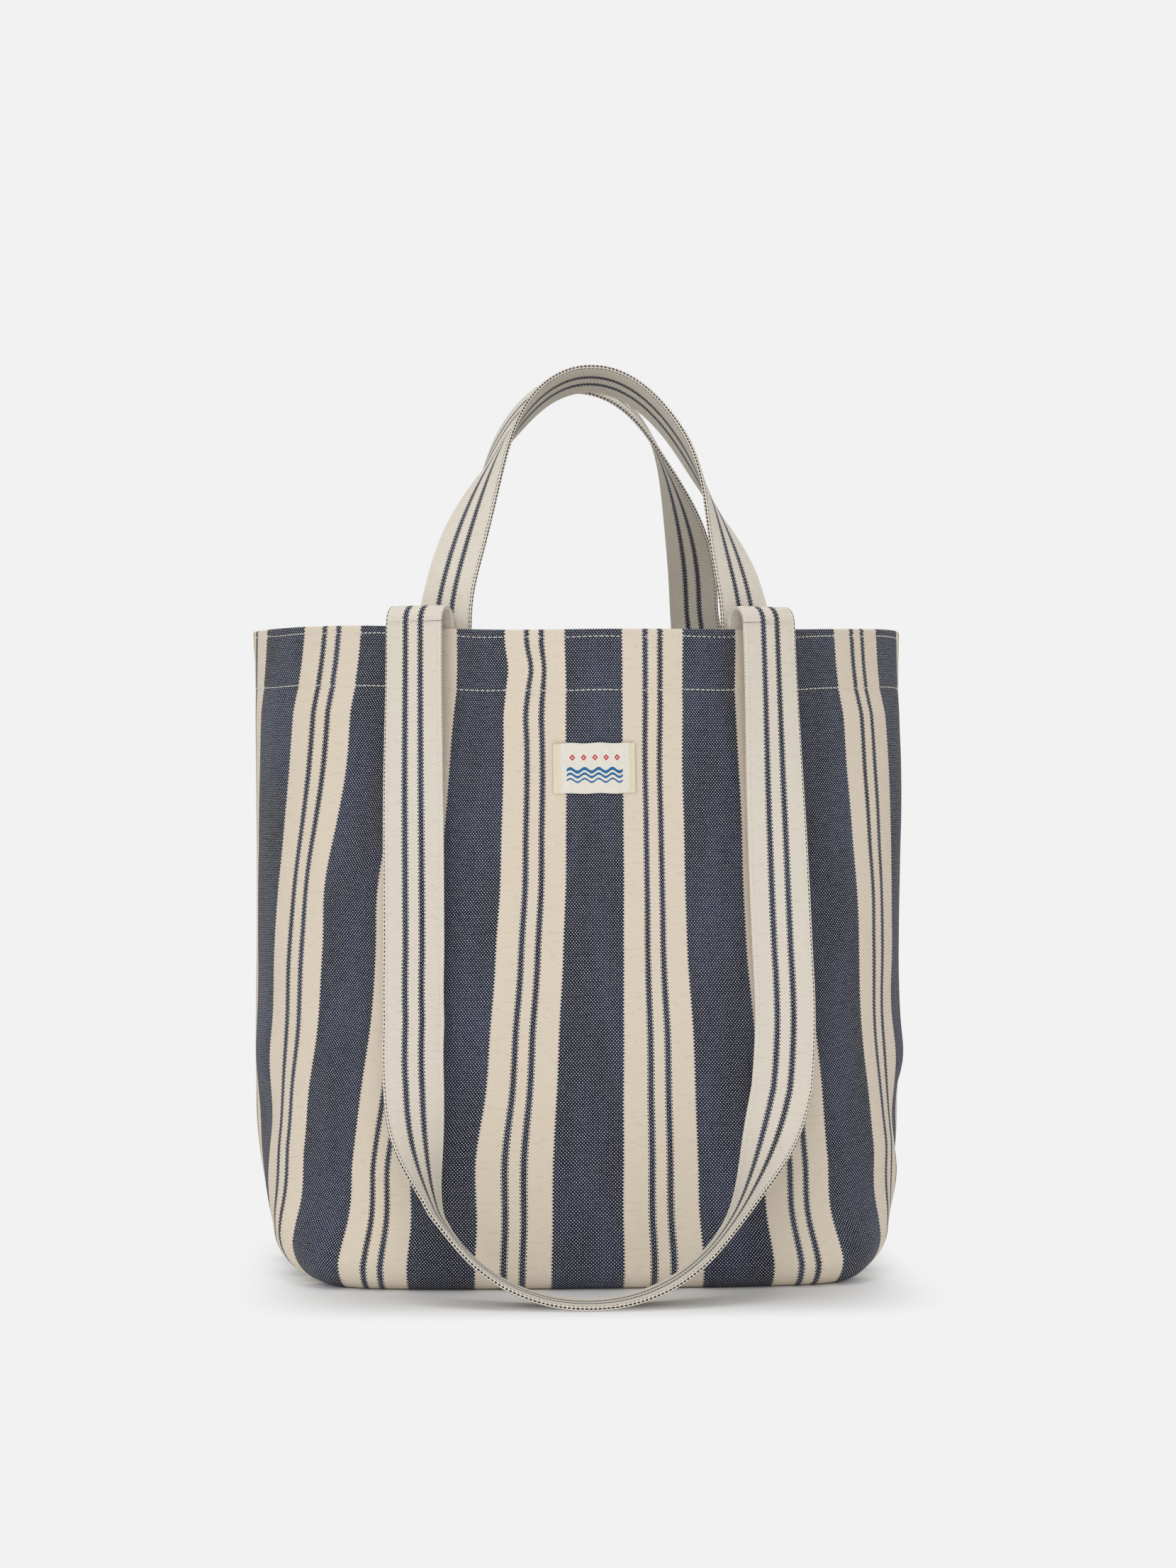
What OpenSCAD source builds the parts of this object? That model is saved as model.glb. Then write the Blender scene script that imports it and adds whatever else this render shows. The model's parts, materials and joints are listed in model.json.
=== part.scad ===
// Canvas tote bag with two short carrying handles and two long shoulder handles.
// The base rests on the plane z = 0, centred on the origin. The front faces -Y and +Z is up.
// Lengths are in millimetres.

/* [Bag] */
// Width of the filled bag
bag_w = 400; // [380:1:420]
// Height of the rim above the base
bag_h = 392; // [385:1:400]
// Depth of the filled bag at mid height
bag_d = 254; // [244:1:262]
// Thickness of the canvas
cloth_t = 1.5; // [1:0.1:2]
// Radius of the turn from the base to the wall
base_r = 38; // [32:1:40]
// Height of the turned-in hem
hem_h = 37; // [34:1:40]
// Thickness of the hem, three layers of canvas
hem_t = 3.2; // [2.6:0.1:3.4]

/* [Handles] */
// Width of every strap
strap_w = 36; // [30:1:38]
// Thickness of every strap, four layers of canvas
strap_t = 2.6; // [2:0.1:2.8]
// Height of the top of the short handles above the rim
short_rise = 160; // [140:1:170]
// Distance from the centre of the bag to each leg of a short handle
short_x = 92; // [88:1:94]
// Distance from the centre of the bag to each leg of a long handle
long_x = 100; // [99:1:104]
// Distance in front of the bag's centre that a long handle reaches on the floor
long_reach = 216; // [205:1:220]

/* [Label] */
// Width of the woven label
label_w = 53; // [40:1:60]
// Height of the woven label
label_h = 30; // [20:1:36]
// Height of the label's centre above the base
label_z = 309; // [300:1:320]

/* [Hidden] */
gap = 0.15;                    // air between thread or trim and the canvas under it
strap_gap = 0.7;               // air between a handle and its stitching, which follows it round its bends
binding_gap = 1.2;             // air between a side binding and the canvas
label_gap = 0.5;               // air between the woven label and the canvas
thread_w = 0.8;                // width of a row of stitching
thread_t = 0.4;                // height of a row of stitching
label_t = 0.6;
tape_w = 10;                   // binding tape inside the seams
tape_t = 2;
columns = 36;                  // columns of the canvas from one side seam to the other
strap_steps = 56;              // steps along one handle
rim_steps = 80;                // steps of a row of stitching round the rim
short_turn = 38;               // turn of a short handle's leg where it leaves the rim
short_tilt = 20;               // slope of a short handle at its top
hinge_rise = 21;               // hinge of the short handles above the rim
tail_h = 34;                   // length of a handle's end inside the hem
long_tail_y = 6.3;             // middle of a long handle's end, inwards from the canvas face
short_tail_y = 9.9;            // middle of a short handle's end, inwards from the canvas face
fold_out = 10.6;               // middle of a long handle where it hangs, outwards from the rim
floor_gap = 1.4;               // air under a long handle on the floor, for its stitching
front_turn = 0.42;             // turn at the base under the front and back, as a share of base_r
edge_row = 15;                 // rows of edge stitching from the middle of a strap

// Outline of the wall: height ratio, half width ratio, half depth ratio, roundness exponent
WALL = [
    [0.00, 0.930, 0.985, 2.90],
    [0.12, 0.965, 1.015, 2.70],
    [0.22, 0.995, 1.010, 2.50],
    [0.32, 0.995, 1.008, 2.50],
    [0.60, 0.990, 1.000, 2.55],
    [0.70, 0.993, 1.020, 2.40],
    [0.80, 0.995, 1.060, 2.20],
    [0.90, 0.998, 1.130, 1.92],
    [1.00, 1.005, 1.175, 1.75],
];

// Height ratios of the canvas's rows between the turn at the base and the hem
LEVELS = [0.12, 0.17, 0.22, 0.27, 0.32, 0.39, 0.46, 0.53, 0.60, 0.65, 0.70, 0.75, 0.80, 0.85];

// ---- outline of the bag -------------------------------------------------------------------

function wall(z, column) = lookup(z / bag_h, [for (row = WALL) [row[0], row[column]]]);
function half_w(z) = wall(z, 1) * bag_w / 2;
function half_d(z) = wall(z, 2) * bag_d / 2;
function roundness(z) = wall(z, 3);

// Point of a half outline, q = -1 at the left side seam, 0 at the front and 1 at the right seam
function outline(q, a, b, n, z) = [
    a * sign(q) * pow(abs(sin(90 * q)), 2 / n),
    abs(q) == 1 ? 0 : -b * pow(abs(cos(90 * q)), 2 / n),
    z
];

// Distance of the front of the wall from the plane of the side seams, at x and z
function wall_y(x, z) =
    -half_d(z) * pow(1 - pow(abs(x) / half_w(z), roundness(z)), 1 / roundness(z));

// Turn of the rim about Z at x
function rim_turn(x) = atan((wall_y(x + 0.5, bag_h) - wall_y(x - 0.5, bag_h)));

// Point that lies a distance outwards from the rim at x
function off_rim(x, out, z) = [
    x + out * sin(rim_turn(x)),
    wall_y(x, bag_h) - out * cos(rim_turn(x)),
    z
];

// ---- closed solids from grids of points ---------------------------------------------------

function quad(a, b, c, d) = [[a, b, c], [a, c, d]];

// Solid between an outer and an inner grid, each a list of rows of the same length.
// The diagonals of the cells mirror each other about the middle column.
module slab(outer, inner) {
    rows = len(outer);
    cols = len(outer[0]);
    skip = rows * cols;
    at = function (i, j) i * cols + j;
    cell = function (a, b, c, d, j) j < cols / 2 - 1 ? quad(a, b, c, d) : quad(b, c, d, a);
    faces = concat(
        [for (i = [0 : rows - 2], j = [0 : cols - 2])
            each cell(at(i + 1, j), at(i + 1, j + 1), at(i, j + 1), at(i, j), cols - 2 - j)],
        [for (i = [0 : rows - 2], j = [0 : cols - 2])
            each cell(skip + at(i, j), skip + at(i, j + 1), skip + at(i + 1, j + 1), skip + at(i + 1, j), j)],
        [for (j = [0 : cols - 2]) each quad(skip + at(0, j + 1), skip + at(0, j), at(0, j), at(0, j + 1))],
        [for (j = [0 : cols - 2]) each quad(
            skip + at(rows - 1, j), skip + at(rows - 1, j + 1), at(rows - 1, j + 1), at(rows - 1, j))],
        [for (i = [0 : rows - 2]) each quad(skip + at(i, 0), skip + at(i + 1, 0), at(i + 1, 0), at(i, 0))],
        [for (i = [0 : rows - 2]) each quad(
            skip + at(i + 1, cols - 1), skip + at(i, cols - 1), at(i, cols - 1), at(i + 1, cols - 1))]
    );
    polyhedron(concat([for (r = outer) each r], [for (r = inner) each r]), faces);
}

// Solid along a path of square sections, each a ring of four points; closed = true joins the ends
module sweep(rings, closed = false) {
    n = len(rings);
    at = function (i, j) (i % n) * 4 + j % 4;
    walls = [for (i = [0 : closed ? n - 1 : n - 2], j = [0 : 3])
        each quad(at(i, j), at(i, j + 1), at(i + 1, j + 1), at(i + 1, j))];
    caps = closed ? [] : concat(quad(3, 2, 1, 0), quad(at(n - 1, 0), at(n - 1, 1), at(n - 1, 2), at(n - 1, 3)));
    polyhedron([for (r = rings) each r], concat(walls, caps));
}

function unit(v) = v / norm(v);
function bezier(p, t) =
    pow(1 - t, 3) * p[0] + 3 * pow(1 - t, 2) * t * p[1] + 3 * (1 - t) * t * t * p[2] + pow(t, 3) * p[3];
function ease(t) = let (s = min(1, max(0, t))) s * s * (3 - 2 * s);
function mix(a, b, t) = a * (1 - t) + b * t;
function flip_x(p) = [-p[0], p[1], p[2]];

// Rings of a band: side = offset from the strap's middle line, lift = offset from its middle plane
function band(path, dirs, side, lift, w, t) = [
    for (i = [0 : len(path) - 1])
        let (
            along = unit(path[min(i + 1, len(path) - 1)] - path[max(i - 1, 0)]),
            across = unit(dirs[i] - (dirs[i] * along) * along),
            up = cross(along, across),
            p = path[i] + side * across + lift * up
        )
        [
            p + across * w / 2 + up * t / 2,
            p - across * w / 2 + up * t / 2,
            p - across * w / 2 - up * t / 2,
            p + across * w / 2 - up * t / 2,
        ]
];

// ---- canvas -------------------------------------------------------------------------------

// Rows of one panel's face, from the seam under the base up to the rim; inset = depth below the face
function panel_rows(inset, inset_hem) =
    let (
        q = [for (j = [0 : columns]) -1 + 2 * j / columns],
        a0 = half_w(base_r),
        b0 = half_d(base_r),
        n0 = roundness(base_r),
        square = 3,
        floor_part = [[0, 0.96], [0.5, 0.98]],
        turn = [for (phi = [90 : -22.5 : 22.5]) phi],
        below_hem = bag_h - hem_h - 0.4,
        low = [base_r, each [for (r = LEVELS) if (r * bag_h < below_hem - 4) r * bag_h], below_hem],
        high = [for (i = [0 : 2]) mix(bag_h - hem_h, bag_h, i / 2)]
    )
    concat(
        [for (f = floor_part) [for (s = q)
            let (p = outline(s, a0 - base_r, b0 - base_r * front_turn, n0 + square, inset))
            [p[0] * f[1], p[1] * f[0], p[2]]]],
        [for (phi = turn) [for (s = q)
            let (c = base_r * (cos(phi) - 1), d = inset * cos(phi))
            outline(s, a0 + c - d, b0 + c * front_turn - d, n0 + square * sin(phi),
                base_r - (base_r - inset) * sin(phi))]],
        [for (z = low) [for (s = q) outline(s, half_w(z) - inset, half_d(z) - inset, roundness(z), z)]],
        [for (z = high) [for (s = q)
            outline(s, half_w(z) - inset_hem, half_d(z) - inset_hem, roundness(z), z)]]
    );

module panel() {
    slab(panel_rows(0, 0), panel_rows(cloth_t, hem_t));
}

module front_panel() {
    color("#5b6178") panel();
}

module back_panel() {
    color("#5b6178") mirror([0, 1, 0]) panel();
}

// ---- bindings inside the seams ------------------------------------------------------------

module side_binding() {
    z = [for (i = [0 : 6]) mix(base_r + 2, bag_h - hem_h - 3, i / 6)];
    face = [for (h = z) [half_w(h) - cloth_t - binding_gap, h]];
    back = [for (i = [6 : -1 : 0]) face[i] - [tape_t, 0]];
    rotate([90, 0, 0]) linear_extrude(tape_w, center = true) polygon(concat(face, back));
}

module left_side_binding() {
    color("#d8ccb8") mirror([1, 0, 0]) side_binding();
}

module right_side_binding() {
    color("#d8ccb8") side_binding();
}

module base_seam_binding() {
    color("#d8ccb8") translate([-bag_w * 0.3, -tape_w / 2, cloth_t + gap])
        cube([bag_w * 0.6, tape_w, tape_t]);
}

module corner_binding() {
    translate([bag_w * 0.31, -bag_d * 0.17, cloth_t + gap]) cube([tape_w, bag_d * 0.34, tape_t]);
}

module left_corner_binding() {
    color("#d8ccb8") mirror([1, 0, 0]) corner_binding();
}

module right_corner_binding() {
    color("#d8ccb8") corner_binding();
}

// ---- stitching round the rim --------------------------------------------------------------

module row_round(z) {
    inner = gap;
    outer = gap + thread_t;
    quarter = [for (i = [0 : rim_steps - 1]) -1 + 2 * i / rim_steps];
    ring = function (q, out, h) outline(q, half_w(h) + out, half_d(h) + out, roundness(h), h);
    front = [for (q = quarter) [
        ring(q, inner, z), ring(q, outer, z), ring(q, outer, z + thread_w), ring(q, inner, z + thread_w)]];
    back = [for (r = front) [for (p = r) [-p[0], -p[1], p[2]]]];
    sweep(concat(front, back), closed = true);
}

module rim_stitching() {
    color("#e9e4d6") row_round(bag_h - 6);
}

module hem_stitching() {
    color("#e9e4d6") row_round(bag_h - hem_h + 1);
}

// ---- labels -------------------------------------------------------------------------------

// Patch on the front of the bag, from x0 to x1 and z0 to z1, lift above the canvas
module front_patch(x0, x1, z0, z1, lift, thick) {
    steps = 8;
    at = function (out) [for (i = [0 : 4]) [for (j = [0 : steps])
        let (x = mix(x0, x1, j / steps), z = mix(z0, z1, i / 4)) [x, wall_y(x, z) - out, z]]];
    slab(at(lift + thick), at(lift));
}

module woven_label() {
    color("#f0ece0")
        front_patch(-label_w / 2, label_w / 2, label_z - label_h / 2, label_z + label_h / 2,
            label_gap, label_t);
}

module label_stitching() {
    color("#fffdf4") for (side = [-1, 1]) {
        x = side * (label_w / 2 - 2.5);
        front_patch(x - thread_w / 2, x + thread_w / 2, label_z - label_h / 2 + 1, label_z + label_h / 2 - 1,
            label_gap + label_t + gap, thread_t);
    }
}

// Blank care label, sewn by one upright edge beside the left side seam, inside the bag
care_x = half_w(bag_h * 0.6) - cloth_t - 5;
module care_label() {
    color("#f4f2ea") translate([-care_x - 0.3, 7, bag_h * 0.6]) cube([0.6, 32, 50]);
}

// ---- short handles ------------------------------------------------------------------------

short_leg = off_rim(short_x, -short_tail_y, bag_h);
hinge_y = short_leg[1] + 6;
short_curve = [
    [short_leg[0] - 3, hinge_y, bag_h + hinge_rise],
    [short_leg[0] - 14, hinge_y + 20, bag_h + short_rise * 0.44],
    [46, -strap_w / 2 * cos(short_tilt) - 2.4, bag_h + short_rise - 1],
    [0, -strap_w / 2 * cos(short_tilt) - 0.9, bag_h + short_rise - 1],
];
short_half = [for (i = [0 : strap_steps / 2]) bezier(short_curve, 2 * i / strap_steps)];
short_half_dirs = [for (i = [0 : strap_steps / 2]) unit(mix(
    [-cos(short_turn), -sin(short_turn), 0],
    [0, -cos(short_tilt), sin(short_tilt)],
    ease((2 * i / strap_steps - 0.1) / 0.6)))];
short_path = concat(short_half, [for (i = [strap_steps / 2 - 1 : -1 : 0]) flip_x(short_half[i])]);
short_dirs = concat(short_half_dirs, [for (i = [strap_steps / 2 - 1 : -1 : 0]) flip_x(short_half_dirs[i])]);

module short_handle() {
    sweep(band(short_path, short_dirs, 0, 0, strap_w, strap_t));
}

module handle_rows(path, dirs) {
    lift = strap_t / 2 + strap_gap + thread_t / 2;
    for (side = [-1, 1], face = [-1, 1])
        sweep(band(path, dirs, side * edge_row, face * lift, thread_w, thread_t));
}

// Ends of a handle, sewn behind the hem: x = place along the rim, depth = inwards from the canvas face
module handle_ends(x, depth, top) {
    for (side = [0, 1]) mirror([side, 0, 0])
        translate([x, wall_y(x, bag_h), 0]) rotate([0, 0, rim_turn(x)])
            translate([-strap_w / 2, depth - strap_t / 2, bag_h - tail_h])
                cube([strap_w, strap_t, tail_h + top]);
}

module front_short_handle() {
    color("#ded6ca") short_handle();
}

module front_short_handle_stitching() {
    color("#f4efe2") handle_rows(short_path, short_dirs);
}

module front_short_handle_ends() {
    color("#ded6ca") handle_ends(short_x, short_tail_y, 7);
}

module back_short_handle() {
    color("#ded6ca") mirror([0, 1, 0]) short_handle();
}

module back_short_handle_stitching() {
    color("#f4efe2") mirror([0, 1, 0]) handle_rows(short_path, short_dirs);
}

module back_short_handle_ends() {
    color("#ded6ca") mirror([0, 1, 0]) handle_ends(short_x, short_tail_y, 7);
}

// ---- long handles -------------------------------------------------------------------------

long_leg = off_rim(long_x, fold_out, bag_h);
long_start = [[long_leg[0], long_leg[1], bag_h + 3], [long_x + 9, long_leg[1], bag_h * 0.51]];
floor_y = -long_reach + strap_w / 2;
long_curve = [
    long_start[1],
    [long_x + 12, long_leg[1], bag_h * 0.18],
    [75, floor_y, strap_t / 2 + floor_gap],
    [0, floor_y, strap_t / 2 + floor_gap],
];
long_half = concat(
    [for (i = [0 : 5]) mix(long_start[0], long_start[1], i / 6)],
    [for (i = [0 : strap_steps / 2]) bezier(long_curve, 2 * i / strap_steps)]
);
long_turn = rim_turn(long_x);
long_half_dirs = concat(
    [for (i = [0 : 5]) [cos(long_turn * (1 - i / 6)), sin(long_turn * (1 - i / 6)), 0]],
    [for (i = [0 : strap_steps / 2])
        unit(mix([1, 0, 0], [0, -1, 0], ease((2 * i / strap_steps - 0.12) / 0.5)))]
);
long_last = len(long_half) - 1;
long_path = concat(long_half, [for (i = [long_last - 1 : -1 : 0]) flip_x(long_half[i])]);
long_dirs = concat(long_half_dirs, [for (i = [long_last - 1 : -1 : 0]) flip_x(long_half_dirs[i])]);

module long_handle() {
    sweep(band(long_path, long_dirs, 0, 0, strap_w, strap_t));
}

module front_long_handle() {
    color("#ded6ca") long_handle();
}

module front_long_handle_stitching() {
    color("#f4efe2") handle_rows(long_path, long_dirs);
}

module front_long_handle_ends() {
    color("#ded6ca") handle_ends(long_x, long_tail_y, 1);
}

module back_long_handle() {
    color("#ded6ca") mirror([0, 1, 0]) long_handle();
}

module back_long_handle_stitching() {
    color("#f4efe2") mirror([0, 1, 0]) handle_rows(long_path, long_dirs);
}

module back_long_handle_ends() {
    color("#ded6ca") mirror([0, 1, 0]) handle_ends(long_x, long_tail_y, 1);
}

front_panel();
back_panel();
left_side_binding();
right_side_binding();
base_seam_binding();
left_corner_binding();
right_corner_binding();
rim_stitching();
hem_stitching();
woven_label();
label_stitching();
care_label();
front_short_handle();
front_short_handle_stitching();
front_short_handle_ends();
back_short_handle();
back_short_handle_stitching();
back_short_handle_ends();
front_long_handle();
front_long_handle_stitching();
front_long_handle_ends();
back_long_handle();
back_long_handle_stitching();
back_long_handle_ends();
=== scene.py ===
"""Striped canvas tote bag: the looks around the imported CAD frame."""

import json
import math

import bmesh
import bpy
import numpy as np
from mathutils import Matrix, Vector


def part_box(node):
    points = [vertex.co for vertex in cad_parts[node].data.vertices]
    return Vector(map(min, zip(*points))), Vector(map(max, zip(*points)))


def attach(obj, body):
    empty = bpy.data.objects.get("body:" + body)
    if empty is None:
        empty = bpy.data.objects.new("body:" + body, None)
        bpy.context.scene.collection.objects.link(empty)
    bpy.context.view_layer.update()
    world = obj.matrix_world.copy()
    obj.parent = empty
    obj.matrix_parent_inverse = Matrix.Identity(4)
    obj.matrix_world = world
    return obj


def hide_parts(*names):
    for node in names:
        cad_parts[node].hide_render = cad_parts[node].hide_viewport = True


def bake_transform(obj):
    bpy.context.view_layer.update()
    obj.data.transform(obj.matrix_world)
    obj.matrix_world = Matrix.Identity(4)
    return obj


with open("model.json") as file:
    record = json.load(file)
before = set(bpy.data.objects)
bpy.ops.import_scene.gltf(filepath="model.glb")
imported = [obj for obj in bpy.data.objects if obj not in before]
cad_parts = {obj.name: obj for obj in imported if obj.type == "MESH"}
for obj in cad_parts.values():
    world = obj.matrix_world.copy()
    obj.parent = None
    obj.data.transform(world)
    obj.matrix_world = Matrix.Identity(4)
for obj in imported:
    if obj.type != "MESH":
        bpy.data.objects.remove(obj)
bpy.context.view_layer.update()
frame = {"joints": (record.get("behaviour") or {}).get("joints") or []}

# ---- measures, in metres -------------------------------------------------------------------

MM = 0.001
PANEL_LO, PANEL_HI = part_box("front_panel")
BAG_H = PANEL_HI.z
RIM_HALF_W = PANEL_HI.x
HALF_W = RIM_HALF_W / 1.005
HALF_D = -PANEL_LO.y / 1.175
CLOTH = 1.5 * MM
HEM_T = 3.2 * MM
HEM_H = 36.5 * MM
REPEAT = 76 * MM          # one repeat of the stripes
SEAM_U = 3.55             # side seams, in repeats from the middle of a panel
CORNER_U = 2.21           # corners of the base, in repeats
STRAP_W = 36 * MM
TAU = 2 * math.pi

# Outline of the wall: height ratio, half width ratio, half depth ratio, roundness, crowding of the stripes
WALL = np.array([
    [0.00, 0.925, 0.975, 7.00, -0.128],
    [0.05, 0.932, 0.985, 5.20, -0.128],
    [0.12, 0.965, 1.005, 3.15, -0.128],
    [0.22, 0.997, 1.010, 2.54, -0.112],
    [0.32, 1.002, 1.008, 2.49, -0.064],
    [0.41, 1.003, 1.006, 2.48, -0.006],
    [0.51, 1.001, 1.000, 2.52, 0.023],
    [0.60, 0.999, 1.000, 2.54, 0.046],
    [0.70, 0.999, 1.020, 2.40, 0.077],
    [0.80, 1.001, 1.062, 2.20, 0.094],
    [0.90, 1.004, 1.130, 1.92, 0.100],
    [1.00, 1.009, 1.172, 1.73, 0.090],
    [1.04, 1.010, 1.182, 1.70, 0.088],
])


def evened(values, keys, at):
    """Values at `at` from a table over keys along the last axis, with smooth slopes."""
    slope = np.gradient(values, keys, axis=-1)
    i = np.clip(np.searchsorted(keys, at, side="right") - 1, 0, len(keys) - 2)
    h = keys[i + 1] - keys[i]
    t = np.clip((at - keys[i]) / h, 0, 1)
    rows = np.arange(len(at)) if values.ndim == 2 else None

    def pick(a, k):
        return a[rows, k] if rows is not None else a[k]
    return (pick(values, i) * (1 + 2 * t) * (1 - t) ** 2 + pick(slope, i) * h * t * (1 - t) ** 2
            + pick(values, i + 1) * t * t * (3 - 2 * t) + pick(slope, i + 1) * h * t * t * (t - 1))


# ---- smooth noise --------------------------------------------------------------------------

def distances(path):
    """Length of the path up to each of its points."""
    return np.concatenate([[0], np.cumsum(np.linalg.norm(np.diff(path, axis=0), axis=1))])


def path_length(path):
    return float(np.linalg.norm(np.diff(path, axis=0), axis=1).sum())


def noise_field(seed):
    """Smooth noise of two coordinates, about -1 to 1, always the same for one seed."""
    table = np.random.default_rng(seed).uniform(-1, 1, (64, 64))

    def at(x, y):
        xi, yi = np.floor(x).astype(int), np.floor(y).astype(int)
        fx, fy = x - xi, y - yi
        fx, fy = fx * fx * (3 - 2 * fx), fy * fy * (3 - 2 * fy)
        a, b = table[yi % 64, xi % 64], table[yi % 64, (xi + 1) % 64]
        c, d = table[(yi + 1) % 64, xi % 64], table[(yi + 1) % 64, (xi + 1) % 64]
        return (a * (1 - fx) + b * fx) * (1 - fy) + (c * (1 - fx) + d * fx) * fy
    return at


def bump_at(u, z, u0, z0, ru, rz, tilt=0.0):
    """A rounded bump of height 1 at (u0, z0), leaning by tilt (change of u over height)."""
    du = (u - u0 - tilt * (z - z0)) / ru
    dz = (z - z0) / rz
    return np.exp(-du * du - dz * dz)


def ramp(x, a, b):
    t = np.clip((x - a) / (b - a), 0, 1)
    return t * t * (3 - 2 * t)


# ---- the wall of the bag -------------------------------------------------------------------

LEVEL_STEP = 2.5 * MM
LEVELS = np.arange(0, BAG_H * 1.03, LEVEL_STEP)
U_STEPS = 240
U_GRID = np.linspace(-SEAM_U, SEAM_U, U_STEPS + 1)


def outline_tables():
    """Position and outward direction of the smooth wall on a grid of height and stripe coordinate."""
    theta = np.linspace(-math.pi / 2, math.pi / 2, 1201)
    s = np.sin(theta)
    tables = np.zeros((4, len(LEVELS), len(U_GRID)))
    for i, z in enumerate(LEVELS):
        ratio = z / BAG_H
        a, b, n, crowd = (evened(WALL[:, k], WALL[:, 0], ratio) for k in (1, 2, 3, 4))
        a, b = a * HALF_W, b * HALF_D
        power = max(n, 2.0)
        root = 1 / n if n >= 2 else 0.5 + (2 - n) * 0.8
        x, y = a * s, -b * np.maximum(1 - np.abs(s) ** power, 0) ** root
        length = np.concatenate([[0], np.cumsum(np.hypot(np.diff(x), np.diff(y)))])
        share = 2 * length / length[-1] - 1
        w = U_GRID / SEAM_U
        at = w * (1 - crowd * (1 - w ** 2))
        px, py = np.interp(at, share, x), np.interp(at, share, y)
        tx = np.interp(at + 2e-3, share, x) - np.interp(at - 2e-3, share, x)
        ty = np.interp(at + 2e-3, share, y) - np.interp(at - 2e-3, share, y)
        size = np.hypot(tx, ty)
        tables[:, i] = px, py, ty / size, -tx / size
    tables[2, :, 0] = -1
    tables[2, :, -1] = 1
    tables[3, :, 0] = tables[3, :, -1] = 0
    return tables


TABLES = outline_tables()


def from_tables(u, z):
    """Bilinear lookup of the four tables at u (repeats) and z (metres)."""
    ui = np.clip((u + SEAM_U) / (2 * SEAM_U) * U_STEPS, 0, U_STEPS - 1e-6)
    zi = np.clip(z / LEVEL_STEP, 0, len(LEVELS) - 1 - 1e-6)
    iu, iz = ui.astype(int), zi.astype(int)
    fu, fz = ui - iu, zi - iz
    g = TABLES
    return ((g[:, iz, iu] * (1 - fu) + g[:, iz, iu + 1] * fu) * (1 - fz)
            + (g[:, iz + 1, iu] * (1 - fu) + g[:, iz + 1, iu + 1] * fu) * fz)


NOISES = {side: [noise_field(11 + side), noise_field(23 + side), noise_field(37 + side)] for side in (-1, 1)}


def sag(u, z, side):
    """Soft folds and dents of the cloth, outwards, in metres; side is 1 for the front and -1 for the back."""
    slow, mid, fine = NOISES[side]
    free = ramp(z, 0, 40 * MM) * (1 - 0.55 * ramp(z, BAG_H - 60 * MM, BAG_H))
    seam = 1 - ramp(np.abs(u), 3.0, 3.5)
    out = 1.9 * slow(u * 0.9 + 3.3, z / (95 * MM) + 5) * free
    out += 0.8 * mid(u * 2.1 + 9.1 + 5 * z, z / (60 * MM) + 2) * free
    out += 0.28 * fine(u * 5.3, z / (26 * MM)) * free
    # pulled in where a handle's end is sewn in, and slack between
    for x in (-1.32, 1.32):
        out -= 2.2 * bump_at(u, z, x, BAG_H - 46 * MM, 0.34, 26 * MM)
        out += 1.5 * bump_at(u, z, x, BAG_H - 100 * MM, 0.5, 34 * MM)
    # the loose hem ripples a little under its lower row of stitching
    hem = BAG_H - HEM_H
    out += 0.35 * np.exp(-((z - hem + 5 * MM) / (6 * MM)) ** 2) * mid(u * 7 + 1, z * 0 + 0.5)
    out -= 0.5 * np.exp(-((z - hem) / (1.6 * MM)) ** 2)
    out -= 0.35 * np.exp(-((z - BAG_H + 4.5 * MM) / (1.3 * MM)) ** 2)
    # dents above the boxed corners
    for sign in (-1, 1):
        k = 1 if side * sign > 0 else 0.75
        out -= 5.0 * k * bump_at(u, z, sign * 3.02, 96 * MM, 0.30, 20 * MM, sign * 3)
        out += 3.2 * k * bump_at(u, z, sign * 3.0, 134 * MM, 0.34, 20 * MM)
        out += 2.6 * k * bump_at(u, z, sign * 2.9, 58 * MM, 0.34, 17 * MM)
        out -= 2.0 * k * bump_at(u, z, sign * 2.55, 128 * MM, 0.3, 26 * MM, -sign * 4)
        out += 1.6 * k * bump_at(u, z, sign * 2.4, 74 * MM, 0.34, 26 * MM)
        out -= 1.8 * bump_at(u, z, sign * 2.2, 26 * MM, 0.16, 22 * MM)
    out *= 0.35 + 0.65 * seam
    # the side seam pulls the cloth in
    pull = 0.8 * np.exp(-((SEAM_U - np.abs(u)) * REPEAT / (2.6 * MM)) ** 2)
    out -= pull * (1 - ramp(z, BAG_H - HEM_H, BAG_H))
    return out * MM


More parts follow.
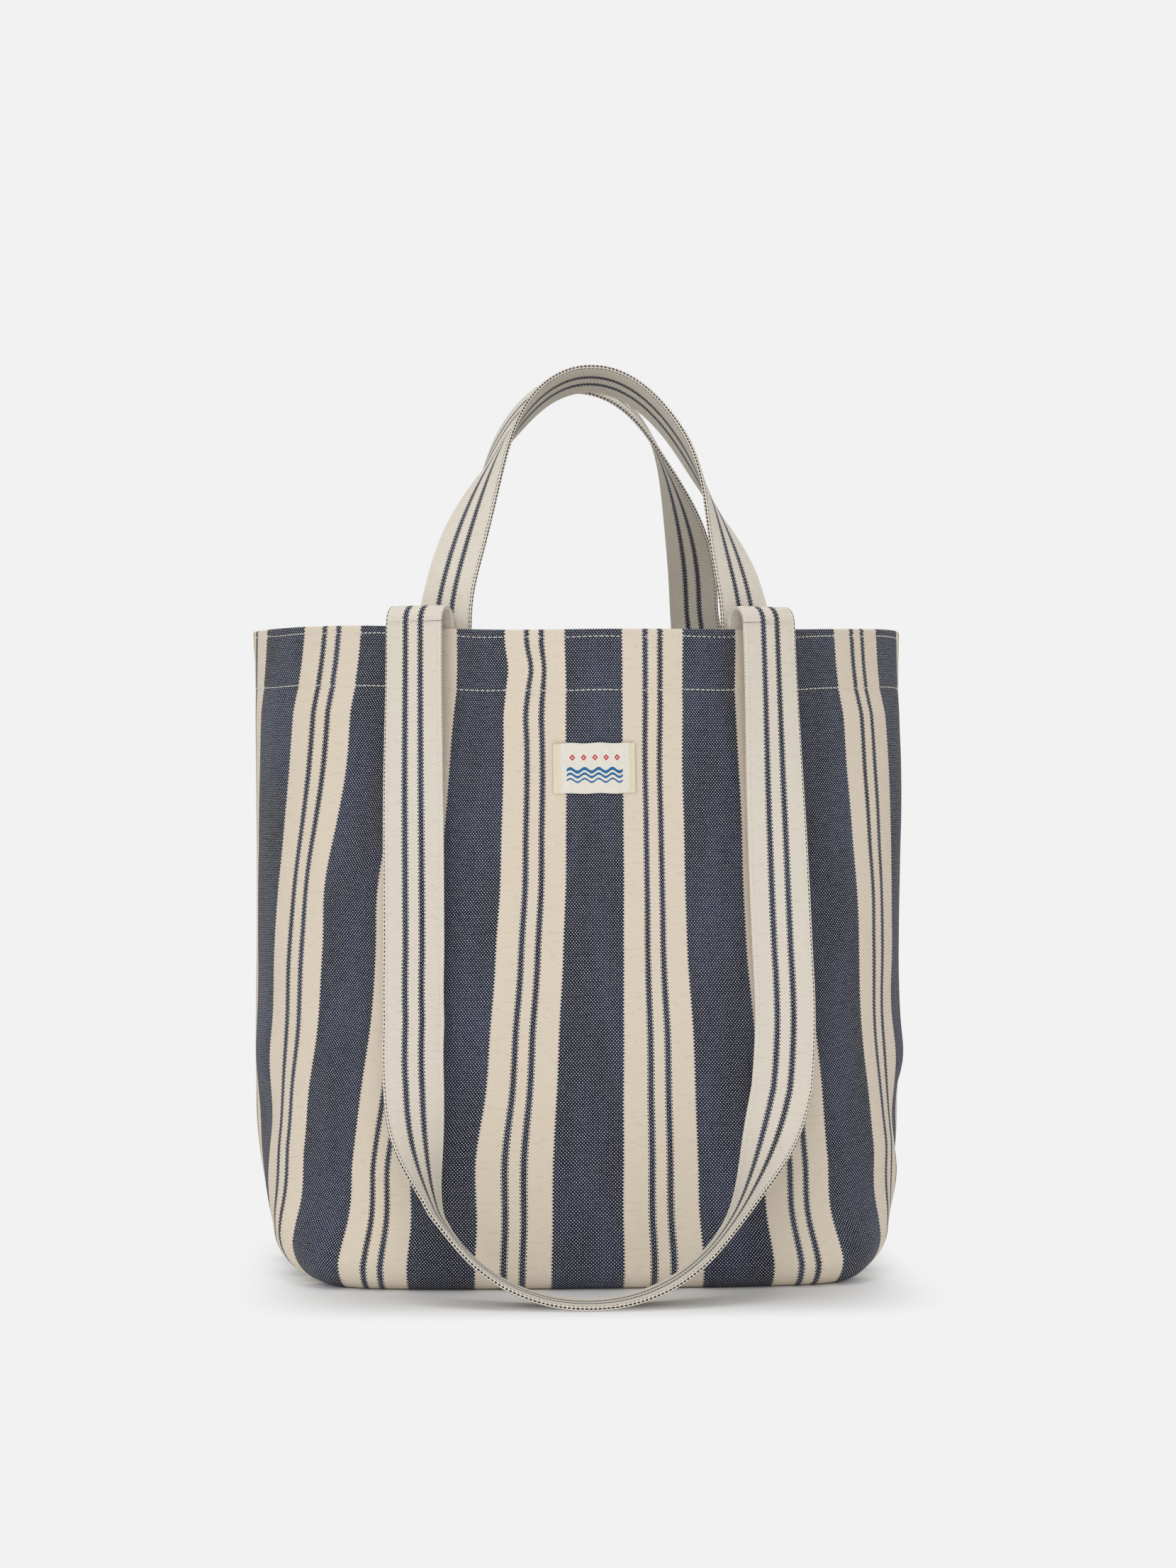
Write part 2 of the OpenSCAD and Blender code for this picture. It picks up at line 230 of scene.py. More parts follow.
# How far the stripes of the front lie to the right of their even places, in millimetres.
# Rows from the base up to the rim, columns from the left seam over the wide stripes to the right seam.
DRIFT_Z = np.array([0.0, 0.12, 0.22, 0.31, 0.41, 0.51, 0.60, 0.70, 0.80, 0.893, 0.99, 1.05])
DRIFT_U = np.array([-3.55, -3.0, -2.0, -1.0, 0.0, 1.0, 2.0, 3.0, 3.55])
DRIFT_MM = np.array([
    [0, 0.0, 1.5, -1.3, -3.4, 1.0, 2.0, 0.0, 0],
    [0, -0.6, 2.4, -1.3, -1.7, 1.0, 2.4, 0.5, 0],
    [0, -0.6, 2.6, -3.4, -0.4, 1.0, 2.6, 1.0, 0],
    [0, -1.5, 1.9, 0.0, -0.9, 1.5, 3.2, 1.9, 0],
    [0, -1.7, 2.6, -1.7, -1.1, 3.2, 4.5, 0.0, 0],
    [0, -1.3, 3.9, 0.0, 1.3, 1.9, 4.1, 2.1, 0],
    [0, 0.4, 2.8, 2.6, 3.2, 1.5, 4.7, 1.1, 0],
    [0, 0.0, 5.8, 1.3, 2.4, 2.2, 5.6, 1.7, 0],
    [0, 0.0, 8.8, 0.4, 1.2, 1.3, 4.7, 3.0, 0],
    [0, 0.4, 9.5, 1.3, 0.6, 2.2, 4.5, 4.7, 0],
    [0, 0.9, 10.3, 0.4, -0.6, 3.0, 5.2, 7.3, 0],
    [0, 0.9, 10.3, 0.4, -0.6, 3.0, 5.2, 7.3, 0],
])


def drift(u, z, side):
    """Sideways waver of the stripes, in metres."""
    slow, mid, _ = NOISES[-side]
    free = 1 - ramp(np.abs(u), 2.9, 3.5)
    out = 1.5 * slow(u * 0.8 + 7, z / (80 * MM)) + 0.55 * mid(u * 1.7, z / (38 * MM))
    if side > 0:
        out += 2.4 * bump_at(u, z, -0.62, BAG_H - 22 * MM, 0.22, 10 * MM)
        out -= 1.6 * bump_at(u, z, -0.60, BAG_H - 50 * MM, 0.26, 14 * MM)
    return out * MM * free


def front_shift(u, z):
    """Shift of the front's stripes to the right, in metres."""
    flat_u, flat_z = u.ravel(), (z / BAG_H).ravel()
    columns = np.stack([evened(DRIFT_MM[:, k].copy(), DRIFT_Z, flat_z) for k in range(len(DRIFT_U))], -1)
    return evened(columns, DRIFT_U, flat_u).reshape(u.shape) * MM


def rim_lift(u):
    """Height of the rim over its mean, in metres: it dips in the middle of each panel."""
    return MM * (-2.0 + 4.6 * ramp(np.abs(u), 0.2, 3.2) + 0.5 * np.sin(u * 2.3 + 0.7))


def height(u, z):
    """Real height of a row that is nominally at z."""
    return z + rim_lift(u) * ramp(z, 0.4 * BAG_H, BAG_H)


def wall_point(u, z, side, inset=0.0):
    """Points of the canvas and their outward directions; u in repeats, z nominal, inset below the face."""
    u, z = np.broadcast_arrays(np.asarray(u, float), np.asarray(z, float))
    x, y, nx, ny = from_tables(u, z)
    out = sag(u, z, side) - inset
    along = drift(u, z, side)
    if side > 0:
        along = along + front_shift(u, z) / np.maximum(-ny, 0.45)
    px = x + nx * out - ny * along
    py = y + ny * out + nx * along
    p = np.stack([px, py, height(u, z)], -1)
    n = np.stack([nx, ny, np.zeros_like(nx)], -1)
    p[..., 1] = np.minimum(p[..., 1], 0)
    p[np.abs(u) >= SEAM_U - 1e-9, 1] = 0
    if side < 0:
        p = p * [1, -1, 1]
        n = n * [1, -1, 1]
    return p, n


# ---- meshes --------------------------------------------------------------------------------

def make(name, verts, faces, body, materials, uvs=None, face_mat=None, smooth=True, fix=True):
    mesh = bpy.data.meshes.new(name)
    mesh.from_pydata([tuple(v) for v in verts], [], faces)
    if uvs is not None:
        layer = mesh.uv_layers.new(name="Weave")
        flat = np.array([c for f in uvs for c in f], np.float32).ravel()
        layer.data.foreach_set("uv", flat)
    for m in materials:
        mesh.materials.append(m)
    if face_mat is not None:
        mesh.polygons.foreach_set("material_index", np.asarray(face_mat, np.int32))
    if fix:
        bm = bmesh.new()
        bm.from_mesh(mesh)
        bmesh.ops.recalc_face_normals(bm, faces=bm.faces)
        bm.to_mesh(mesh)
        bm.free()
    mesh.polygons.foreach_set("use_smooth", np.full(len(mesh.polygons), smooth))
    mesh.update()
    obj = bpy.data.objects.new(name, mesh)
    bpy.context.scene.collection.objects.link(obj)
    if body:
        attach(obj, body)
    return obj


# ---- materials -----------------------------------------------------------------------------

class Nodes:
    """Short calls for building a material's nodes."""

    def __init__(self, name):
        self.material = bpy.data.materials.new(name)
        self.material.use_nodes = True
        self.tree = self.material.node_tree
        self.tree.nodes.clear()
        self.out = self.tree.nodes.new("ShaderNodeOutputMaterial")
        self.shader = self.tree.nodes.new("ShaderNodeBsdfPrincipled")
        self.tree.links.new(self.shader.outputs[0], self.out.inputs[0])

    def put(self, socket, value):
        if isinstance(value, bpy.types.NodeSocket):
            self.tree.links.new(value, socket)
        elif value is not None:
            socket.default_value = value

    def math(self, op, a, b=None, c=None):
        node = self.tree.nodes.new("ShaderNodeMath")
        node.operation = op
        for socket, value in zip(node.inputs, (a, b, c)):
            self.put(socket, value)
        return node.outputs[0]

    def smooth(self, value, low, high, to_low=0.0, to_high=1.0):
        node = self.tree.nodes.new("ShaderNodeMapRange")
        node.interpolation_type = "SMOOTHSTEP"
        for socket, v in zip(node.inputs, (value, low, high, to_low, to_high)):
            self.put(socket, v)
        return node.outputs[0]

    def mix(self, fac, a, b, blend="MIX"):
        node = self.tree.nodes.new("ShaderNodeMix")
        node.data_type = "RGBA"
        node.blend_type = blend
        self.put(node.inputs[0], fac)
        self.put(node.inputs[6], a)
        self.put(node.inputs[7], b)
        return node.outputs[2]

    def uv(self, name="Weave"):
        node = self.tree.nodes.new("ShaderNodeUVMap")
        node.uv_map = name
        split = self.tree.nodes.new("ShaderNodeSeparateXYZ")
        self.tree.links.new(node.outputs[0], split.inputs[0])
        return node.outputs[0], split.outputs[0], split.outputs[1]

    def noise(self, vector, scale, detail=2.0, stretch=None):
        if stretch is not None:
            node = self.tree.nodes.new("ShaderNodeVectorMath")
            node.operation = "MULTIPLY"
            self.put(node.inputs[0], vector)
            self.put(node.inputs[1], stretch)
            vector = node.outputs[0]
        node = self.tree.nodes.new("ShaderNodeTexNoise")
        self.put(node.inputs["Vector"], vector)
        self.put(node.inputs["Scale"], scale)
        self.put(node.inputs["Detail"], detail)
        return node.outputs[0]

    def place(self):
        """Position on the object, in metres."""
        node = self.tree.nodes.new("ShaderNodeTexCoord")
        return node.outputs["Object"]

    def finish(self, colour, roughness, height=None, distance=0.0003, strength=1.0, sheen=0.0):
        self.put(self.shader.inputs["Base Color"], colour)
        self.put(self.shader.inputs["Roughness"], roughness)
        self.shader.inputs["Specular IOR Level"].default_value = 0.18
        if sheen:
            self.shader.inputs["Sheen Weight"].default_value = sheen
            self.shader.inputs["Sheen Roughness"].default_value = 0.45
            self.shader.inputs["Sheen Tint"].default_value = (0.86, 0.9, 1.0, 1.0)
        if height is not None:
            bump = self.tree.nodes.new("ShaderNodeBump")
            bump.inputs["Strength"].default_value = strength
            bump.inputs["Distance"].default_value = distance
            self.put(bump.inputs["Height"], height)
            self.put(self.shader.inputs["Normal"], bump.outputs[0])
        return self.material


def srgb(r, g, b):
    def one(v):
        v /= 255
        return v / 12.92 if v <= 0.04045 else ((v + 0.055) / 1.055) ** 2.4
    return (one(r), one(g), one(b), 1.0)


ENDS_PER_REPEAT = 43.0
PICKS_PER_REPEAT = 36.0
BAND = 0.241                # half width of a wide stripe, in repeats
THIN_FROM, THIN_TO = 0.41375, 0.45875
CREAM = srgb(233, 221, 204)
CREAM_SHADE = srgb(212, 197, 176)
NAVY = srgb(22, 26, 43)
NAVY_LIGHT = srgb(38, 46, 72)
DOT = srgb(222, 220, 214)


def canvas_material(name, cream, cream_shade, sheen):
    n = Nodes(name)
    vec, u, v = n.uv()
    rows = n.math("COSINE", n.math("MULTIPLY", v, TAU * PICKS_PER_REPEAT))
    ends = n.math("COSINE", n.math("MULTIPLY", u, TAU * ENDS_PER_REPEAT))
    lattice = n.math("MULTIPLY", rows, ends)
    # which yarn: distance to the middle of the nearest wide stripe, with a stepped edge
    cell = n.math("FRACT", n.math("ADD", u, 100.5))
    dist = n.math("ABSOLUTE", n.math("SUBTRACT", cell, 0.5))
    step = n.math("MULTIPLY", n.smooth(rows, -0.35, 0.35, -1.0, 1.0), 0.0055)
    fuzz = n.math("MULTIPLY", n.math("SUBTRACT", n.noise(vec, 60.0, 1.0), 0.5), 0.006)
    dist = n.math("ADD", n.math("ADD", dist, step), fuzz)
    edge = 0.0022
    wide = n.smooth(dist, BAND - edge, BAND + edge, 1.0, 0.0)
    thin = n.math("MULTIPLY", n.smooth(dist, THIN_FROM - edge, THIN_FROM + edge),
                  n.smooth(dist, THIN_TO - edge, THIN_TO + edge, 1.0, 0.0))
    dark = n.math("MAXIMUM", wide, thin)
    # irregular yarn
    slub = n.noise(vec, 30.0, 3.0, (0.35, 1.0, 1.0))
    grain = n.noise(vec, 95.0, 2.0)
    dye = n.noise(vec, 1.3, 3.0, (3.0, 0.6, 1.0))
    level = n.math("ADD", 0.45, n.math("MULTIPLY", n.math("SUBTRACT", grain, 0.5), 0.95))
    dots = n.smooth(lattice, level, n.math("ADD", level, 0.36))
    navy = n.mix(n.smooth(dye, 0.3, 0.75), NAVY, NAVY_LIGHT)
    navy = n.mix(n.math("MULTIPLY", n.smooth(lattice, 0.2, -1.0), 0.16), navy, NAVY_LIGHT)
    navy = n.mix(n.math("MULTIPLY", dots, n.smooth(slub, 0.2, 0.6, 0.62, 0.95)), navy, DOT)
    twill = n.math("COSINE", n.math("MULTIPLY", n.math("ADD", n.math("MULTIPLY", u, ENDS_PER_REPEAT),
                                                       n.math("MULTIPLY", v, PICKS_PER_REPEAT)), TAU))
    weave = n.math("ADD", n.math("MULTIPLY", twill, 0.6), n.math("MULTIPLY", lattice, 0.4))
    light = n.mix(n.smooth(weave, -1.0, 0.5, 0.85, 0.0), cream, cream_shade)
    light = n.mix(n.smooth(slub, 0.52, 0.75, 0.0, 0.55), light, cream_shade)
    light = n.mix(n.smooth(grain, 0.2, 0.5, 0.35, 0.0), light, cream_shade)
    colour = n.mix(dark, light, navy)
    bumps = n.math("ADD", n.math("MULTIPLY", lattice, 0.5), n.math("MULTIPLY", twill, 0.18))
    bumps = n.math("ADD", bumps, n.math("MULTIPLY", slub, 0.5))
    rough = n.smooth(grain, 0.2, 0.8, 0.82, 0.96)
    return n.finish(colour, rough, bumps, 0.00022, 0.55, sheen)


def thread_material(name, light, shade):
    n = Nodes(name)
    place = n.place()
    turns = n.noise(place, 2600.0, 2.0)
    soft = n.noise(place, 180.0, 2.0)
    colour = n.mix(n.smooth(turns, 0.35, 0.62, 0.0, 0.8), light, shade)
    colour = n.mix(n.smooth(soft, 0.45, 0.8, 0.0, 0.35), colour, shade)
    return n.finish(colour, n.smooth(turns, 0.3, 0.7, 0.62, 0.8), turns, 0.0001, 0.6, 0.15)


def tape_material(name, light, shade, wales):
    """Plain woven tape; its map is in metres across and along."""
    n = Nodes(name)
    vec, u, v = n.uv()
    a = n.math("COSINE", n.math("MULTIPLY", u, TAU * wales))
    b = n.math("COSINE", n.math("MULTIPLY", v, TAU * wales * 0.7))
    knit = n.math("MULTIPLY", a, b)
    soft = n.noise(vec, 160.0, 3.0)
    colour = n.mix(n.smooth(knit, -1.0, 0.4, 0.7, 0.0), light, shade)
    colour = n.mix(n.smooth(soft, 0.4, 0.8, 0.0, 0.5), colour, shade)
    return n.finish(colour, n.smooth(soft, 0.3, 0.8, 0.7, 0.88), knit, 0.00015, 0.5, 0.2)


LABEL_W, LABEL_H = 53 * MM, 30 * MM


def label_material():
    """Damask label with folded ends; blue waves under a row of red diamonds."""
    n = Nodes("woven_label_cloth")
    vec, x, y = n.uv()                       # millimetres from the label's middle
    wave = n.math("SINE", n.math("MULTIPLY", x, TAU / 9.0))
    blue = None
    for middle, thick in ((-7.2, 0.55), (-4.2, 0.75), (-1.2, 0.95)):
        line = n.math("ADD", n.math("MULTIPLY", wave, 1.05), middle)
        line = n.smooth(n.math("ABSOLUTE", n.math("SUBTRACT", y, line)), thick - 0.14, thick + 0.14, 1.0, 0.0)
        blue = line if blue is None else n.math("MAXIMUM", blue, line)
    inside = n.smooth(n.math("ABSOLUTE", x), 17.9, 18.1, 1.0, 0.0)
    blue = n.math("MULTIPLY", blue, inside)
    cell = n.math("SUBTRACT", n.math("FRACT", n.math("ADD", n.math("DIVIDE", x, 7.2), 20.5)), 0.5)
    diamond = n.math("ADD", n.math("MULTIPLY", n.math("ABSOLUTE", cell), 7.2),
                     n.math("ABSOLUTE", n.math("SUBTRACT", y, 6.4)))
    red = n.math("MULTIPLY", n.smooth(diamond, 1.75, 2.05, 1.0, 0.0), inside)
    hollow = n.smooth(diamond, 0.55, 0.8)
    red = n.math("MULTIPLY", red, hollow)
    fold = n.smooth(n.math("ABSOLUTE", x), 21.6, 21.9)
    satin = n.math("COSINE", n.math("MULTIPLY", y, TAU * 3.6))
    fine = n.math("COSINE", n.math("MULTIPLY", x, TAU * 4.4))
    soft = n.noise(vec, 0.35, 3.0)
    ground = n.mix(n.smooth(satin, -1.0, 1.0, 0.35, 0.0), srgb(243, 239, 228), srgb(226, 219, 203))
    ground = n.mix(fold, ground, srgb(238, 228, 201))
    ground = n.mix(n.smooth(soft, 0.4, 0.8, 0.0, 0.35), ground, srgb(224, 214, 192))
    colour = n.mix(blue, ground, srgb(34, 108, 160))
    colour = n.mix(red, colour, srgb(203, 52, 60))
    bumps = n.math("ADD", n.math("MULTIPLY", n.math("MULTIPLY", satin, fine), 0.4),
                   n.math("MULTIPLY", n.math("MAXIMUM", blue, red), 0.5))
    return n.finish(colour, 0.62, bumps, 0.00012, 0.6, 0.1)


CANVAS = canvas_material("striped_canvas_cloth", CREAM, CREAM_SHADE, 0.06)
STRAP = canvas_material("strap_cloth", srgb(231, 224, 211), srgb(211, 201, 185), 0.1)
THREAD = thread_material("stitching_thread", srgb(242, 238, 226), srgb(205, 198, 182))
# dark thread, also used as painted shade for the gap in a strap's folded edge
DARK_THREAD_AND_GAP_SHADE = thread_material("dark_thread_and_gap_shade", srgb(62, 55, 60), srgb(28, 27, 36))
TAPE = tape_material("binding_tape_cloth", srgb(226, 215, 196), srgb(188, 175, 153), 900.0)
SATIN = tape_material("care_label_satin", srgb(244, 243, 238), srgb(220, 219, 214), 2200.0)
LABEL = label_material()

# ---- canvas panels -------------------------------------------------------------------------

COLS = 180
SIDE_COLS = round((SEAM_U - CORNER_U) / (2 * SEAM_U) * COLS)
COL_U = np.linspace(-SEAM_U, SEAM_U, COLS + 1)
TURN_STEPS = 12
FLOOR_Z = 0.25 * MM


def turn_radii(u):
    """Radii of the turn from the wall to the base, along the floor and upwards."""
    side = ramp(np.abs(u), 1.5, 2.7)
    return (12 + 24 * side) * MM, (14 + 18 * side) * MM


def wall_rows(side):
    """Rows of the outer and of the inner face, from the floor to the rim."""
    top_rise = turn_radii(np.array([SEAM_U]))[1][0]
    hem = BAG_H - HEM_H
    levels = list(np.linspace(top_rise, hem - 1.2 * MM, 94)) + [hem - 0.3 * MM]
    levels += list(np.linspace(hem + 0.5 * MM, BAG_H - HEM_T / 2, 14))
    along, up = turn_radii(COL_U)
    outer, inner = [], []
    first = levels[0]
    foot, direction = wall_point(COL_U, first, side)
    foot_z = up
    for i in range(TURN_STEPS, 0, -1):
        phi = i / TURN_STEPS * math.pi / 2
        for rows, inset in ((outer, 0.0), (inner, CLOTH)):
            back = along * (1 - math.cos(phi)) + inset * math.cos(phi)
            p = foot - direction * back[:, None]
            p[:, 2] = FLOOR_Z + foot_z * (1 - math.sin(phi)) + inset * math.sin(phi)
            rows.append(p)
    span = levels[-1] - first
    for z in levels:
        low = (1 - (z - first) / span) ** 3
        at = z + (up - first) * low
        p, n = wall_point(COL_U, np.full_like(COL_U, z), side)
        depth = HEM_T if z > hem else CLOTH
        q = p - n * depth
        for row, rows in ((p, outer), (q, inner)):
            row[:, 2] += at - z + FLOOR_Z * low
            rows.append(row)
    return outer, inner


def panel(name, side):
    outer, inner = wall_rows(side)
    top_out, top_in = outer[-1], inner[-1]
    middle, half = (top_out + top_in) / 2, (top_out - top_in) / 2
    fold = []
    for i in range(1, 7):
        phi = math.pi * i / 7
        row = middle + half * math.cos(phi)
        row[:, 2] += HEM_T / 2 * math.sin(phi)
        fold.append(row)
    rows = outer + fold + inner[::-1]
    grid = np.array(rows)
    for k in (0, -1):
        grid[:, k, 1] = 0
    n_rows, n_cols = grid.shape[:2]
    steps = np.linalg.norm(np.diff(grid, axis=0), axis=2)
    v = np.concatenate([np.zeros((1, n_cols)), np.cumsum(steps, axis=0)]) / REPEAT
    v -= v[len(outer) - 1]
    verts = list(grid.reshape(-1, 3))
    faces, uvs = [], []

    def at(i, j):
        return i * n_cols + j

    for i in range(n_rows - 1):
        for j in range(n_cols - 1):
            faces.append((at(i, j), at(i, j + 1), at(i + 1, j + 1), at(i + 1, j)))
            uvs.append([(COL_U[j], v[i, j]), (COL_U[j + 1], v[i, j + 1]),
                        (COL_U[j + 1], v[i + 1, j + 1]), (COL_U[j], v[i + 1, j])])
    # the base: the front columns go on to the seam under the bag, the side columns end along its short edges
    left, right = SIDE_COLS, COLS - SIDE_COLS
    seams = []
    for row, down in ((0, 1), (n_rows - 1, -1)):
        index = {}
        edge = grid[row]
        s = np.linspace(0, 1, right - left + 1)[:, None]
        ends = edge[0] * (1 - s) + edge[COLS] * s
        for k in range(SIDE_COLS + 1):
            t = k / SIDE_COLS
            index[left, k], index[right, k] = at(row, left - k), at(row, right + k)
            coons = ((1 - t) * edge[left:right + 1] + t * ends + (1 - s) * edge[left - k]
                     + s * edge[right + k] - (1 - t) * ((1 - s) * edge[left] + s * edge[right])
                     - t * ((1 - s) * edge[0] + s * edge[COLS]))
            for j in range(left + 1, right):
                if k == 0:
                    index[j, k] = at(row, j)
                else:
                    index[j, k] = len(verts)
                    verts.append(coons[j - left])
        run = abs(edge[left, 1]) / SIDE_COLS / REPEAT
        for k in range(SIDE_COLS):
            for j in range(left, right):
                faces.append((index[j, k], index[j, k + 1], index[j + 1, k + 1], index[j + 1, k]))
                uvs.append([(COL_U[c], v[row, left] - down * d * run)
                            for c, d in ((j, k), (j, k + 1), (j + 1, k + 1), (j + 1, k))])
        seams.append([index[j, SIDE_COLS] for j in range(left, right + 1)])
    # close the cut edges in the plane of the side seams
    for j in (0, n_cols - 1):
        for i in range(len(outer) - 1):
            a, b = at(i, j), at(i + 1, j)
            c, d = at(n_rows - 2 - i, j), at(n_rows - 1 - i, j)
            faces.append((a, b, c, d))
            uvs.append([(COL_U[j], v[i, j])] * 4)
        cap = [at(len(outer) - 1 + i, j) for i in range(len(fold) + 2)]
        faces.append(tuple(cap))
        uvs.append([(COL_U[j], v[len(outer) - 1, j])] * len(cap))
    for a, b, c, d in zip(seams[0], seams[0][1:], seams[1][1:], seams[1]):
        faces.append((a, b, c, d))
        uvs.append([(0.5, 0.0)] * 4)
    return make(name, verts, faces, "bag", [CANVAS], uvs)


front = panel("front_canvas", 1)
back = panel("back_canvas", -1)
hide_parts("front_panel")
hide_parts("back_panel")

# ---- stitches ------------------------------------------------------------------------------

STITCH_RINGS = [(-0.5, 0.25), (-0.36, 0.85), (0.0, 1.0), (0.36, 0.85), (0.5, 0.25)]
STITCH_SIDES = 6


def stitch_shape():
    verts, faces = [], []
    for x, r in STITCH_RINGS:
        for k in range(STITCH_SIDES):
            a = TAU * k / STITCH_SIDES
            arch = 0.5 * (1 - (2 * x) ** 2)
            verts.append((x, r * math.cos(a) / 2, r * math.sin(a) / 2 + arch - 0.15))
    for i in range(len(STITCH_RINGS) - 1):
        for k in range(STITCH_SIDES):
            a, b = i * STITCH_SIDES + k, i * STITCH_SIDES + (k + 1) % STITCH_SIDES
            faces.append((a, b, b + STITCH_SIDES, a + STITCH_SIDES))
    last = (len(STITCH_RINGS) - 1) * STITCH_SIDES
    faces.append(tuple(range(STITCH_SIDES))[::-1])
    faces.append(tuple(last + k for k in range(STITCH_SIDES)))
    return np.array(verts), faces


SHAPE_VERTS, SHAPE_FACES = stitch_shape()


def stitch_line(path, normals, seed, pitch=3.3 * MM, length=2.75 * MM, wide=0.62 * MM, high=0.42 * MM,
                closed=False):
    """Vertices and faces of a row of separate stitches along a path."""
    rng = np.random.default_rng(seed)
    if closed:
        path, normals = np.vstack([path, path[:1]]), np.vstack([normals, normals[:1]])
    run = distances(path)
    count = max(1, int(run[-1] / pitch))
    centres = (np.arange(count) + 0.5) * run[-1] / count

    def along(values, s):
        return np.stack([np.interp(s, run, values[:, k]) for k in range(3)], -1)

    a, b = along(path, centres - length / 2), along(path, centres + length / 2)
    middle = (a + b) / 2
    x = b - a
    x /= np.linalg.norm(x, axis=1)[:, None]
    z = along(normals, centres)
    z -= (z * x).sum(1)[:, None] * x
    z /= np.linalg.norm(z, axis=1)[:, None]
    y = np.cross(z, x)
    turn = rng.normal(0, 0.045, count)[:, None]
    x, y = x * np.cos(turn) + y * np.sin(turn), y * np.cos(turn) - x * np.sin(turn)
    size = rng.normal(1, 0.05, (count, 3)) * [length, wide, high]
    verts = (middle[:, None] + SHAPE_VERTS[None, :, 0:1] * (x * size[:, 0:1])[:, None]
             + SHAPE_VERTS[None, :, 1:2] * (y * size[:, 1:2])[:, None]
             + SHAPE_VERTS[None, :, 2:3] * (z * size[:, 2:3])[:, None])
    n = len(SHAPE_VERTS)
    faces = [tuple(i * n + k for k in f) for i in range(count) for f in SHAPE_FACES]
    return verts.reshape(-1, 3), faces


def gather(parts):
    """One list of vertices, faces and material numbers from several (verts, faces, material number)."""
    verts, faces, mats, base = [], [], [], 0
    for v, f, m in parts:
        verts.append(v)
        faces += [tuple(base + k for k in face) for face in f]
        mats += [m] * len(f)
        base += len(v)
    return np.vstack(verts), faces, mats


def row_round(name, node, below, seed):
    """A row of stitches round the rim, on both faces of the hem."""
    u = np.linspace(-SEAM_U, SEAM_U, 500)
    z = np.full_like(u, BAG_H - below)
    wobble = 0.25 * MM * np.sin(u * 9 + 1)
    parts = []
    for depth, sign in ((0.0, 1), (HEM_T, -1)):
        rings, outs = [], []
        for side in (1, -1):
            p, n = wall_point(u, z + wobble, side, depth)
            if side < 0:
                p, n = p[::-1], n[::-1]
            rings.append(p[:-1])
            outs.append(n[:-1] * sign)
        v, f = stitch_line(np.vstack(rings), np.vstack(outs), seed + sign, closed=True)
        parts.append((v, f, 0))
    verts, faces, _ = gather(parts)
    obj = make(name, verts, faces, "bag", [THREAD], fix=False)
    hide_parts(node)
    return obj


row_round("rim_row", "rim_stitching", 4.5 * MM, 5)
row_round("hem_row", "hem_stitching", HEM_H - 0.7 * MM, 9)

# ---- straps --------------------------------------------------------------------------------

HALF_SECTION = [  # across and up, in millimetres, over one half of a strap's upper face
    (0.0, 1.30), (3.0, 1.31), (6.5, 1.32), (10.0, 1.34), (13.0, 1.32), (14.6, 1.18), (15.4, 1.02),
    (16.2, 1.18),
    (17.1, 1.20), (17.75, 0.98), (18.0, 0.62), (17.85, 0.28), (17.45, 0.0),
]


def section():
    """Closed section of a strap as (across, up, map position across), in metres."""
    right_up = HALF_SECTION
    right_down = [(s, -h) for s, h in HALF_SECTION[-2::-1]]
    left_down = [(-s, -h) for s, h in HALF_SECTION[1:]]
    left_up = [(-s, h) for s, h in HALF_SECTION[-2:0:-1]]
    loop = right_up + right_down + left_down + left_up
    return np.array([(s * MM, h * MM, max(-17.5, min(17.5, s)) * MM) for s, h in loop])


SECTION = section()


def frames(path, dirs):
    """Along, across and up at every point of a strap's path."""
    along = np.gradient(path, axis=0)
    along /= np.linalg.norm(along, axis=1)[:, None]
    across = dirs - (dirs * along).sum(1)[:, None] * along
    across /= np.linalg.norm(across, axis=1)[:, None]
    return along, across, np.cross(along, across)


def strap_mesh(name, path, dirs, materials, loop=SECTION, repeat=REPEAT, origin=0.5):
    """A strap swept along a path; repeat and origin place its map."""
    _, across, up = frames(path, dirs)
    rings = path[:, None] + across[:, None] * loop[None, :, 0:1] + up[:, None] * loop[None, :, 1:2]
    n, m = rings.shape[:2]
    run = distances(path) / repeat
    faces, uvs = [], []
    mu = origin + loop[:, 2] / repeat
    for i in range(n - 1):
        for j in range(m):
            k = (j + 1) % m
            faces.append((i * m + j, i * m + k, (i + 1) * m + k, (i + 1) * m + j))
            uvs.append([(mu[j], run[i]), (mu[k], run[i]), (mu[k], run[i + 1]), (mu[j], run[i + 1])])
    for i in (0, n - 1):
        faces.append(tuple(i * m + j for j in range(m)))
        uvs.append([(mu[j], run[i]) for j in range(m)])
    return make(name, rings.reshape(-1, 3), faces, None, materials, uvs)


